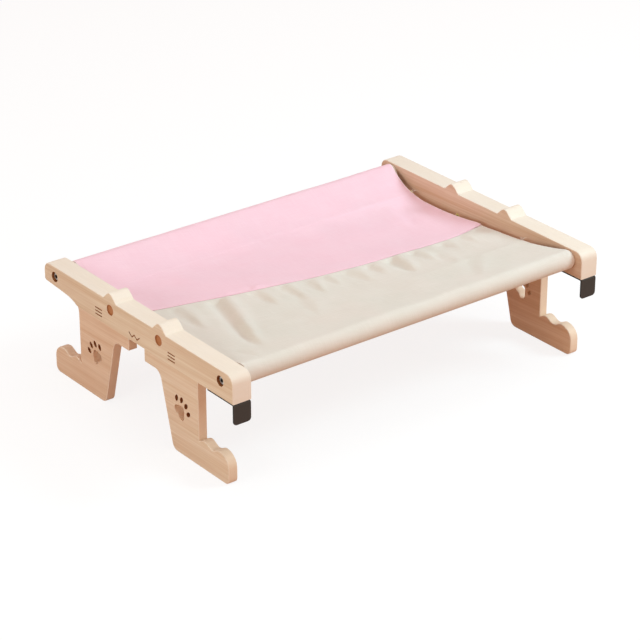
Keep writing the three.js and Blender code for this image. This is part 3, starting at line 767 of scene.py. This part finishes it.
def dowelPiece(end):
    node = end + "_dowel"
    low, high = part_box(node)
    radius = (high.z - low.z) / 2
    length = high.x - low.x
    bore = dowelShape["boreRadius"]
    chamfer = dowelShape["chamfer"]
    half = [
        (0, dowelShape["boreDepth"]), (bore, dowelShape["boreDepth"]), (bore, 0),
        (radius - chamfer, 0), (radius, chamfer),
    ]
    farHalf = [(r, length - place) for r, place in reversed(half)]
    bm = spunShell(half + farHalf, dowelShape["steps"])
    layAlong(bm, (1, 0, 0), (low.x, middleOf(node).y, middleOf(node).z))
    wood = pineMaterial(end + "DowelWood", Vector((0, dowelShape["grainShift"], 0)), turn=math.pi / 2)
    dressedPiece(bm, node, [wood], hardware["smoothAngle"], "dowel_wood")


for end in bothEnds:
    dowelPiece(end)
print("dowels made")


# Canvas sling. A panel is one flat cut, laid point by point where it hangs: from the lapped
# seam to the stitching, round the dowel, back to the stitching and a short allowance past it.

sling = {
    "thickness": 0.0007,
    "rollRadius": 0.01235,
    "hem": 0.008,
    "hemDrop": 0.00085,
    "hemShares": (1.0, 0.6, 0.25),
    "hemTurns": (-50, 0, 50),
    "hemFoldColumns": (4, 7),
    "plyDrop": 0.0009,
    "plyBlend": 0.012,
    "allowance": 0.009,
    "edgeDip": 0.0027,
    "bellyDip": 0.0075,
    "dipSkew": 0.75,
    "bellySkew": 5.1,
    "slopeStep": 0.0005,
    "edgeBow": 0.006,
    "rollSpread": 0.0011,
    "leftBow": {"power": 2, "from": 0.9, "to": 1.3},
    "rightBow": {"power": 6, "from": 0.9, "to": 1.0},
    "seamPlace": -0.020,
    "seamSkew": 0.060,
    "seamStart": 0.05,
    "seamEnd": -0.25,
    "seamCurve": 1.45,
    "lap": 0.009,
    "lapBlend": 0.02,
    "column": 0.0018,
    "edgeSag": 0.0036,
    "edgeSagWidth": 0.036,
    "edgeSagFront": (-0.02, 0.06),
    "edgeSagRear": (0.13, 0.17),
    "gather": 0.003,
    "gatherSize": (0.017, 0.06),
    "gatherSlice": 7.0,
    "gatherLean": 0.3,
    "gatherReach": 0.028,
    "gatherEnd": 0.1,
    "bend": 0.03,
    "ripple": 0.0009,
    "rippleSize": (0.055, 0.088),
    "rippleSlice": 0.3,
    "flatBySeam": 0.009,
    "rollFade": (10, 95),
    "returnFade": (0.3, 1.0),
    "sheetReach": 0.05,
}
rearSleeve = {"length": 0.057, "drop": 0.0087, "way": 1, "turn": 0.38}
frontSleeve = {"length": 0.073, "drop": 0.0003, "way": -1, "turn": 0.2}

clothLow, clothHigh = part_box("pink_panel")
halfWidth = (clothHigh.x - clothLow.x) / 2
rearHub = middleOf("rear_dowel")
frontHub = middleOf("front_dowel")
rearStitch = Vector((0, rearHub.y - rearSleeve["length"], rearHub.z - rearSleeve["drop"]))
frontStitch = Vector((0, frontHub.y + frontSleeve["length"], frontHub.z - frontSleeve["drop"]))

# Folds: a wall that faces left, between a trough and a crest on its right. Each has its places
# along the wall (x, y) from the seam forward, then its half width and the crest's height
foldEnds = {"front": 0.012, "frontShare": 0.35, "seam": 0.006, "narrowShare": 0.6, "narrowTo": 0.7}
folds = [
    ([(-0.152, 0.016), (-0.168, -0.030), (-0.182, -0.075), (-0.194, -0.120), (-0.198, -0.145)],
     0.0088, 0.0044),
    ([(-0.212, 0.025), (-0.220, -0.045)], 0.008, 0.0016),
    ([(-0.105, 0.012), (-0.108, -0.045)], 0.0075, 0.0026),
    ([(-0.068, 0.000), (-0.072, -0.055)], 0.007, 0.0024),
    ([(-0.072, -0.047), (-0.090, -0.111)], 0.009, 0.0012),
    ([(-0.034, -0.008), (-0.042, -0.055)], 0.0065, 0.0020),
    ([(-0.008, -0.014), (-0.012, -0.047)], 0.006, 0.0015),
    ([(0.022, -0.017), (0.026, -0.065)], 0.0075, 0.0022),
    ([(0.059, -0.017), (0.056, -0.058)], 0.007, 0.0020),
    ([(0.098, -0.017), (0.088, -0.080)], 0.0085, 0.0036),
    ([(0.136, -0.018), (0.131, -0.065)], 0.0075, 0.0022),
    ([(0.154, -0.050), (0.144, -0.095)], 0.008, 0.0012),
    ([(0.185, -0.018), (0.183, -0.052)], 0.0065, 0.0014),
    ([(0.215, -0.018), (0.213, -0.052)], 0.0065, 0.0012),
    ([(0.168, -0.102), (0.128, -0.156)], 0.009, 0.0012),
    ([(-0.226, -0.138), (-0.222, -0.170)], 0.006, 0.0007),
    ([(0.205, 0.105), (0.199, 0.078), (0.194, 0.050)], 0.012, -0.0016),
]


def foldHeight(fold, x, y):
    wall, halfWide, crest = fold
    high, low = wall[0][1], wall[-1][1]
    front, seam = foldEnds["front"], foldEnds["seam"]
    fade = max(front, foldEnds["frontShare"] * (high - low))
    ends = smoothStep(low - front, low + fade, y) * (1 - smoothStep(high - seam, high + seam, y))
    if ends <= 0:
        return 0.0
    for (startX, startY), (endX, endY) in zip(wall, wall[1:]):
        if y >= endY or (endX, endY) == wall[-1]:
            slope = (endX - startX) / (startY - endY)
            opened = smoothStep(low, mix(low, high, foldEnds["narrowTo"]), y)
            width = halfWide * mix(foldEnds["narrowShare"], 1.0, opened)
            away = (x - startX - slope * (startY - y)) / math.hypot(1, slope) / width
            return crest * ends * away * math.exp(0.5 - 0.5 * away * away)


def edgeSag(x, y):
    # the right edge hangs lower behind the seam than the rest of the cloth
    along = smoothStep(*sling["edgeSagFront"], y) * (1 - smoothStep(*sling["edgeSagRear"], y))
    return sling["edgeSag"] * along * math.exp(-(((x - halfWidth) / sling["edgeSagWidth"]) ** 2))


def gatherHeight(x, y):
    # small puckers that run forward from the seam and die out
    ahead = seamY(x) - y
    if not 0 < ahead < sling["gatherEnd"]:
        return 0.0
    width, length = sling["gatherSize"]
    place = Vector(((x + sling["gatherLean"] * ahead) / width, ahead / length, sling["gatherSlice"]))
    return sling["gather"] * noise.noise(place) * math.exp(-ahead / sling["gatherReach"])


def cornerLift(y, stitch, turn):
    # rounds the bend where a sleeve meets the sheet
    near = max(0.0, sling["bend"] - abs(y - stitch.y))
    return turn * near * near / (4 * sling["bend"])


def clothLift(x, y):
    # height over the plain sag; folds are flat where the two panels lap
    width, length = sling["rippleSize"]
    total = sling["ripple"] * noise.noise(Vector((x / width, y / length, sling["rippleSlice"])))
    total += cornerLift(y, rearStitch, rearSleeve["turn"]) + cornerLift(y, frontStitch, frontSleeve["turn"])
    total -= edgeSag(x, y)
    fade = smoothStep(0.0, sling["flatBySeam"], abs(y - seamY(x)))
    if fade > 0:
        total += fade * (gatherHeight(x, y) + sum(foldHeight(fold, x, y) for fold in folds))
    return total


def seamY(x):
    run = clamp01((sling["seamStart"] - x) / (sling["seamStart"] - sling["seamEnd"]))
    return sling["seamPlace"] + sling["seamSkew"] * run ** sling["seamCurve"]


def sheetLevel(x, y):
    along = clamp01((rearStitch.y - y) / (rearStitch.y - frontStitch.y))
    chord = mix(rearStitch.z, frontStitch.z, along)
    fromLeft = clamp01(x / (2 * halfWidth) + 0.5)
    belly = math.sin(math.pi * fromLeft ** sling["bellySkew"])
    dip = math.sin(math.pi * along ** sling["dipSkew"])
    return chord - dip * (sling["edgeDip"] + sling["bellyDip"] * belly)


def bowed(x, y):
    # the side edges draw in where the cloth is free, further on the right, and not at the dowels
    bow, spread = (sling["leftBow"], -frontStitch.y) if x < 0 else (sling["rightBow"], -frontHub.y)
    middle = max(0.0, 1 - (abs(y) / spread) ** bow["power"])
    atDowel = smoothStep(bow["from"] * spread, bow["to"] * spread, abs(y))
    return x * (1 + (sling["rollSpread"] * atDowel - sling["edgeBow"] * middle) / halfWidth)


def plyDrop(x):
    # two plies lie closer than four, which meet where the side hems are
    nearEdge = smoothStep(halfWidth - sling["hem"] - sling["plyBlend"], halfWidth - sling["hem"], abs(x))
    return sling["plyDrop"] + sling["hemDrop"] * nearEdge


def seamLift(x, y, way):
    # the upper ply of the lap rises and the lower one sinks by half a ply
    blend = 1 - smoothStep(sling["lap"], sling["lap"] + sling["lapBlend"], way * (y - seamY(x)))
    return way * plyDrop(x) / 2 * blend


def sheetPoint(x, y, way):
    step = sling["slopeStep"]
    slope = (sheetLevel(x, y + step) - sheetLevel(x, y - step)) / (2 * step)
    normal = Vector((0, -slope, 1)).normalized()
    point = Vector((x, y, sheetLevel(x, y) + seamLift(x, y, way)))
    return point + normal * clothLift(x, y), normal


def sleeveAngles(hub, stitch, way):
    reach = Vector((stitch.y - hub.y, stitch.z - hub.z))
    facing = math.atan2(reach.y, reach.x)
    spread = math.acos(sling["rollRadius"] / reach.length)
    start = facing - way * spread
    sweep = -way * (math.tau - 2 * spread)
    return start, sweep


def panelStations(sleeve, hub, stitch, steps):
    # each station gives a point and an outward normal for any x, from the seam to the allowance
    way = sleeve["way"]
    start, sweep = sleeveAngles(hub, stitch, way)
    radius = sling["rollRadius"]
    seamReach = sling["lap"] if way < 0 else 0.0

    def onArc(angle):
        normal = Vector((0, math.cos(angle), math.sin(angle)))
        return Vector((0, hub.y, hub.z)) + normal * radius, normal

    def sheetStation(share):
        def place(x):
            y = mix(seamY(x) + seamReach, stitch.y, share)
            return sheetPoint(x, y, way)
        return place

    def topStation(share):
        end, normal = onArc(start)

        def place(x):
            point = stitch.lerp(end, share)
            return Vector((x, point.y, point.z)) + normal * clothLift(x, point.y), normal
        return place

    def rollStation(share):
        point, normal = onArc(start + sweep * share)
        turned = math.degrees(abs(sweep)) * share
        fade = 1 - smoothStep(*sling["rollFade"], turned)

        def place(x):
            reachY = onArc(start)[0].y + way * radius * math.radians(turned)
            return Vector((x, point.y, point.z)) + normal * clothLift(x, reachY) * fade, normal
        return place

    def lowerStation(share):
        begin, normal = onArc(start + sweep)

        def place(x):
            end = stitch - Vector((0, 0, plyDrop(x)))
            point = begin.lerp(end, share)
            fold = clothLift(x, point.y) * smoothStep(*sling["returnFade"], share)
            return Vector((x, point.y, point.z + fold)), normal
        return place

    def allowanceStation(share):
        def place(x):
            y = stitch.y - way * sling["allowance"] * share
            point, normal = sheetPoint(x, y, way)
            return point - normal * plyDrop(x), -normal
        return place

    parts = zip((sheetStation, topStation, rollStation, lowerStation, allowanceStation), steps)
    return [part(i / count) for part, count in parts for i in range(count)] + [allowanceStation(1.0)]


def hemColumns():
    # (place across, drop below the cloth) from the raw end of the left hem to its fold
    radius = sling["hemDrop"] / 2
    edge = -halfWidth
    columns = [(edge + sling["hem"] * share, 2 * radius) for share in sling["hemShares"]]
    columns += [(edge + radius, 2 * radius)]
    columns += [(edge + radius - radius * math.cos(angle), radius - radius * math.sin(angle))
                for angle in map(math.radians, sling["hemTurns"])]
    columns += [(edge + radius, 0.0), (edge + 3 * radius, 0.0)]
    return columns


def clothPanel(name, sleeve, hub, stitch, steps, material):
    leftHem = hemColumns()
    inner = -leftHem[-1][0]
    count = round(2 * inner / sling["column"])
    across = [(mix(-inner, inner, i / count), 0.0) for i in range(1, count)]
    columns = leftHem + across + [(-x, drop) for x, drop in reversed(leftHem)]
    stations = panelStations(sleeve, hub, stitch, steps)
    places = []
    for station in stations:
        row = []
        for x, drop in columns:
            point, normal = station(x)
            point = point - normal * drop
            row.append(Vector((bowed(point.x, point.y), point.y, point.z)))
        places.append(row)
    flatU = [0.0]
    middle = places[0]
    for before, after in zip(middle, middle[1:]):
        flatU.append(flatU[-1] + (after - before).length)
    flatV = [[0.0] * len(columns)]
    for row, later in zip(places, places[1:]):
        flatV.append([v + (b - a).length for v, a, b in zip(flatV[-1], row, later)])
    bm = bmesh.new()
    lastU, lastV = len(columns) - 1, len(stations) - 1
    firstFold, lastFold = sling["hemFoldColumns"]
    bmesh.ops.create_grid(bm, x_segments=lastU, y_segments=lastV, size=0.5)
    uv = bm.loops.layers.uv.new("cloth")
    hem = bm.verts.layers.float.new("hemFold")
    for vert in bm.verts:
        i = round((vert.co.x + 0.5) * lastU)
        j = round((vert.co.y + 0.5) * lastV)
        vert.co = places[j][i]
        vert[hem] = 1.0 if firstFold <= min(i, lastU - i) <= lastFold else 0.0
        for loop in vert.link_loops:
            loop[uv].uv = (flatU[i], flatV[j][i])
    bm.normal_update()
    bmesh.ops.recalc_face_normals(bm, faces=bm.faces)
    sheetVerts = [v for v in bm.verts if abs(v.co.y) < sling["sheetReach"]]
    if sum(v.normal.z for v in sheetVerts) < 0:
        bmesh.ops.reverse_faces(bm, faces=bm.faces)
    cloth = pieceFrom(bm, name, [material], 180)
    wall = cloth.modifiers.new("clothThickness", "SOLIDIFY")
    wall.thickness = sling["thickness"]
    wall.offset = 0.0
    lengths = flatV[-1]
    return cloth, (flatU[-1], max(lengths)), flatU[-1] * sum(lengths) / len(lengths)


def topPoint(x, y, sleeve, hub, stitch):
    # a point on the upper face of a panel, on its sheet or on the upper ply of its sleeve
    way = sleeve["way"]
    if way * (y - stitch.y) <= 0:
        point, normal = sheetPoint(x, y, way)
    else:
        start, sweep = sleeveAngles(hub, stitch, way)
        normal = Vector((0, math.cos(start), math.sin(start)))
        end = Vector((0, hub.y, hub.z)) + normal * sling["rollRadius"]
        share = (y - stitch.y) / (end.y - stitch.y)
        point = stitch.lerp(end, share) + normal * clothLift(x, y)
        point.x = x
    point = point + normal * (sling["thickness"] / 2)
    return Vector((bowed(point.x, point.y), point.y, point.z))


stitching = {
    "length": 0.0027,
    "pitch": 0.0036,
    "radius": 0.00024,
    "flatShare": 1.2,
    "rowSteps": 150,
    "rowInset": 0.001,
    "rowPlace": 0.0006,
    "seamInset": 0.0022,
    "hemSteps": 80,
    "hemInset": 0.0062,
    "hemStart": 0.004,
    "hemEnd": 0.006,
}


def stitchRow(bm, path):
    # short threads laid along a list of points, half sunk in the cloth
    walked = 0.0
    nextAt = 0.0
    for before, after in zip(path, path[1:]):
        step = (after - before).length
        while nextAt < walked + step:
            middle = before.lerp(after, (nextAt - walked) / step)
            turn = (after - before).to_track_quat("X", "Z").to_matrix().to_4x4()
            size = Matrix.Diagonal((stitching["length"] / 2, stitching["radius"] * stitching["flatShare"],
                                    stitching["radius"], 1))
            bmesh.ops.create_uvsphere(bm, u_segments=6, v_segments=4, radius=1,
                                      matrix=Matrix.Translation(middle) @ turn @ size)
            nextAt += stitching["pitch"]
        walked += step


def stitchPiece(name, sleeve, hub, stitch, material, slot):
    way = sleeve["way"]
    bm = bmesh.new()

    def sewRow(places):
        stitchRow(bm, [topPoint(x, y, sleeve, hub, stitch) for x, y in places])

    reach = halfWidth - stitching["rowInset"]
    steps = stitching["rowSteps"]
    across = [mix(-reach, reach, i / steps) for i in range(steps + 1)]
    sewRow([(x, stitch.y - way * stitching["rowPlace"]) for x in across])
    if way > 0:
        sewRow([(x, seamY(x) + stitching["seamInset"]) for x in across])
    steps = stitching["hemSteps"]
    for edge in (-1, 1):
        x = edge * (halfWidth - stitching["hemInset"])
        startY = seamY(x) + way * stitching["hemStart"]
        endY = hub.y - way * stitching["hemEnd"]
        sewRow([(x, mix(startY, endY, i / steps)) for i in range(steps + 1)])
    piece = pieceFrom(bm, name, [material], 180)
    settle(piece, "perch_frame", slot)
    return piece


threadTail = {
    "radius": 0.00028,
    "sides": 6,
    "length": 0.011,
    "steps": 8,
    "curl": 0.0022,
    "inset": 0.004,
    "behind": 0.001,
    "lift": 0.0009,
    "pinkTurns": [(0.5, 0.001), (-0.4, 0.0015)],
    "beigeTurns": [(0.9, 0.001), (0.1, 0.002)],
}


def threadTails(name, stitch, slot, turns):
    # two loose ends of thread at the right end of a stitch row, each with its turn and its rise
    bm = bmesh.new()
    x = bowed(halfWidth, stitch.y)
    steps = threadTail["steps"]
    for turn, rise in turns:
        start = Vector((x - threadTail["inset"], stitch.y + threadTail["behind"],
                        sheetLevel(x, stitch.y) + threadTail["lift"]))
        centres = []
        for i in range(steps + 1):
            share = i / steps
            run = share * threadTail["length"]
            height = threadTail["curl"] * math.sin(math.pi * share) + rise * share
            centres.append(start + Vector((run * math.cos(turn), run * math.sin(turn), height)))
        ring = bmesh.ops.create_circle(bm, segments=threadTail["sides"], radius=threadTail["radius"],
                                       cap_ends=True)
        verts = ring["verts"]
        aim = (centres[1] - centres[0]).to_track_quat("Z", "Y").to_matrix().to_4x4()
        bmesh.ops.transform(bm, matrix=Matrix.Translation(centres[0]) @ aim, verts=verts)
        faces = list({f for v in verts for f in v.link_faces})
        for before, after in zip(centres, centres[1:]):
            made = bmesh.ops.extrude_face_region(bm, geom=faces)["geom"]
            moved = [g for g in made if isinstance(g, bmesh.types.BMVert)]
            bmesh.ops.delete(bm, geom=faces, context="FACES_ONLY")
            bmesh.ops.translate(bm, verts=moved, vec=after - before)
            faces = [g for g in made if isinstance(g, bmesh.types.BMFace)]
    bmesh.ops.recalc_face_normals(bm, faces=bm.faces)
    piece = pieceFrom(bm, name, [ivoryThread], 60)
    settle(piece, "perch_frame", slot)
    return piece


# Steps along a panel: its sheet, the upper ply of its sleeve, the roll, the lower ply, the allowance
pinkSteps = (58, 20, 30, 12, 3)
beigeSteps = (58, 30, 30, 12, 3)
pinkPlace = (rearSleeve, rearHub, rearStitch)
beigePlace = (frontSleeve, frontHub, frontStitch)
pinkPanel, pinkFlat, pinkArea = clothPanel("pinkPanel", *pinkPlace, pinkSteps, pinkCanvas)
settle(pinkPanel, "perch_frame", "pink_canvas", "pink_panel")
beigePanel, beigeFlat, beigeArea = clothPanel("beigePanel", *beigePlace, beigeSteps, beigeCanvas)
settle(beigePanel, "perch_frame", "beige_canvas", "beige_panel")
print("panels laid, in metres:", pinkFlat, pinkArea, beigeFlat, beigeArea)

pinkStitches = stitchPiece("pinkStitches", *pinkPlace, pinkThread, "pink_canvas")
beigeStitches = stitchPiece("beigeStitches", *beigePlace, ivoryThread, "beige_canvas")
pinkTails = threadTails("pinkTails", rearStitch, "pink_canvas", threadTail["pinkTurns"])
beigeTails = threadTails("beigeTails", frontStitch, "beige_canvas", threadTail["beigeTurns"])
print("sling sewn")


# Floor, light and camera

studio = {
    "floorRadius": 6.0,
    "floorSteps": 96,
    "floorRoughness": 0.9,
    "floorBounce": (0.6, 0.34, 0.23, 1),
    "floorTone": 0.19,
    "floorLift": 0.84,
    "world": 0.5,
    "worldTint": (1.0, 0.5, 0.32, 1),
    "key": {"place": (1.8, -1.25, 1.75), "size": (0.9, 0.9), "power": 45.0, "colour": (0.62, 0.9, 1.0)},
    "top": {"place": (0.1, 0.1, 2.3), "size": (2.2, 2.2), "power": 23.0, "colour": (0.56, 0.88, 1.0)},
    "fill": {"place": (-2.0, -0.2, 0.65), "size": (1.2, 0.9), "power": 15.5, "colour": (0.8, 1.0, 1.0)},
    "front": {"place": (0.2, -2.4, 0.5), "size": (1.6, 0.5), "power": 9.0, "colour": (0.72, 0.84, 0.86)},
}


def seenOnly(tree, light, pale, output):
    # the camera, a mirror and glass see the pale one, and the object is lit by the other
    ray = addNode(tree, "LightPath").outputs
    seen = mathOf(tree, "MAXIMUM", ray["Is Camera Ray"], ray["Is Glossy Ray"])
    seen = mathOf(tree, "MAXIMUM", seen, ray["Is Transmission Ray"])
    both = addNode(tree, "MixShader", {0: seen, 1: light.outputs[0], 2: pale.outputs[0]})
    tree.links.new(both.outputs[0], tree.nodes[output].inputs["Surface"])


def paleFloor():
    bm = bmesh.new()
    bmesh.ops.create_circle(bm, segments=studio["floorSteps"], radius=studio["floorRadius"], cap_ends=True)
    material, tree, shader = newMaterial("paleFloor")
    shader.inputs["Base Color"].default_value = studio["floorBounce"]
    shader.inputs["Roughness"].default_value = studio["floorRoughness"]
    shader.inputs["Specular IOR Level"].default_value = 0.0
    tone = studio["floorTone"]
    pale = addNode(tree, "BsdfDiffuse", {"Color": (tone, tone, tone, 1)})
    glow = addNode(tree, "Emission", {"Color": (1, 1, 1, 1), "Strength": studio["floorLift"]})
    both = addNode(tree, "AddShader", {0: pale.outputs[0], 1: glow.outputs[0]})
    seenOnly(tree, shader, both, "Material Output")
    floor = pieceFrom(bm, "floor", [material])


def studioWorld():
    world = bpy.data.worlds.new("studio")
    stage.world = world
    world.use_nodes = True
    tree = world.node_tree
    light = tree.nodes["Background"]
    light.inputs["Color"].default_value = studio["worldTint"]
    light.inputs["Strength"].default_value = studio["world"]
    white = addNode(tree, "Background", {"Color": (1, 1, 1, 1), "Strength": 1.0})
    seenOnly(tree, light, white, "World Output")


def softLamp(name, place, size, power, colour):
    lamp = bpy.data.lights.new(name, "AREA")
    lamp.shape = "RECTANGLE"
    lamp.size, lamp.size_y = size
    lamp.energy = power
    lamp.color = colour
    holder = bpy.data.objects.new(name, lamp)
    holder.location = place
    holder.rotation_euler = Vector(place).to_track_quat("Z", "Y").to_euler()
    stage.collection.objects.link(holder)


camera = {
    "place": (-1.7301, -2.22185, 1.45776),
    "azimuth": math.radians(-37.851),
    "elevation": math.radians(26.354),
    "lens": 138.99,
    "sensor": 36.0,
}


def photoCamera():
    lensData = bpy.data.cameras.new("photoCamera")
    lensData.sensor_fit = "HORIZONTAL"
    lensData.sensor_width = camera["sensor"]
    lensData.lens = camera["lens"]
    holder = bpy.data.objects.new("photoCamera", lensData)
    level = math.cos(camera["elevation"])
    back = Vector((math.sin(camera["azimuth"]) * level, -math.cos(camera["azimuth"]) * level,
                   math.sin(camera["elevation"])))
    holder.location = camera["place"]
    holder.rotation_euler = back.to_track_quat("Z", "Y").to_euler()
    stage.collection.objects.link(holder)
    stage.camera = holder


paleFloor()
studioWorld()
for lampName in ("key", "top", "fill", "front"):
    softLamp(lampName, **studio[lampName])
photoCamera()
stage.view_settings.view_transform = "Standard"
print("studio ready")
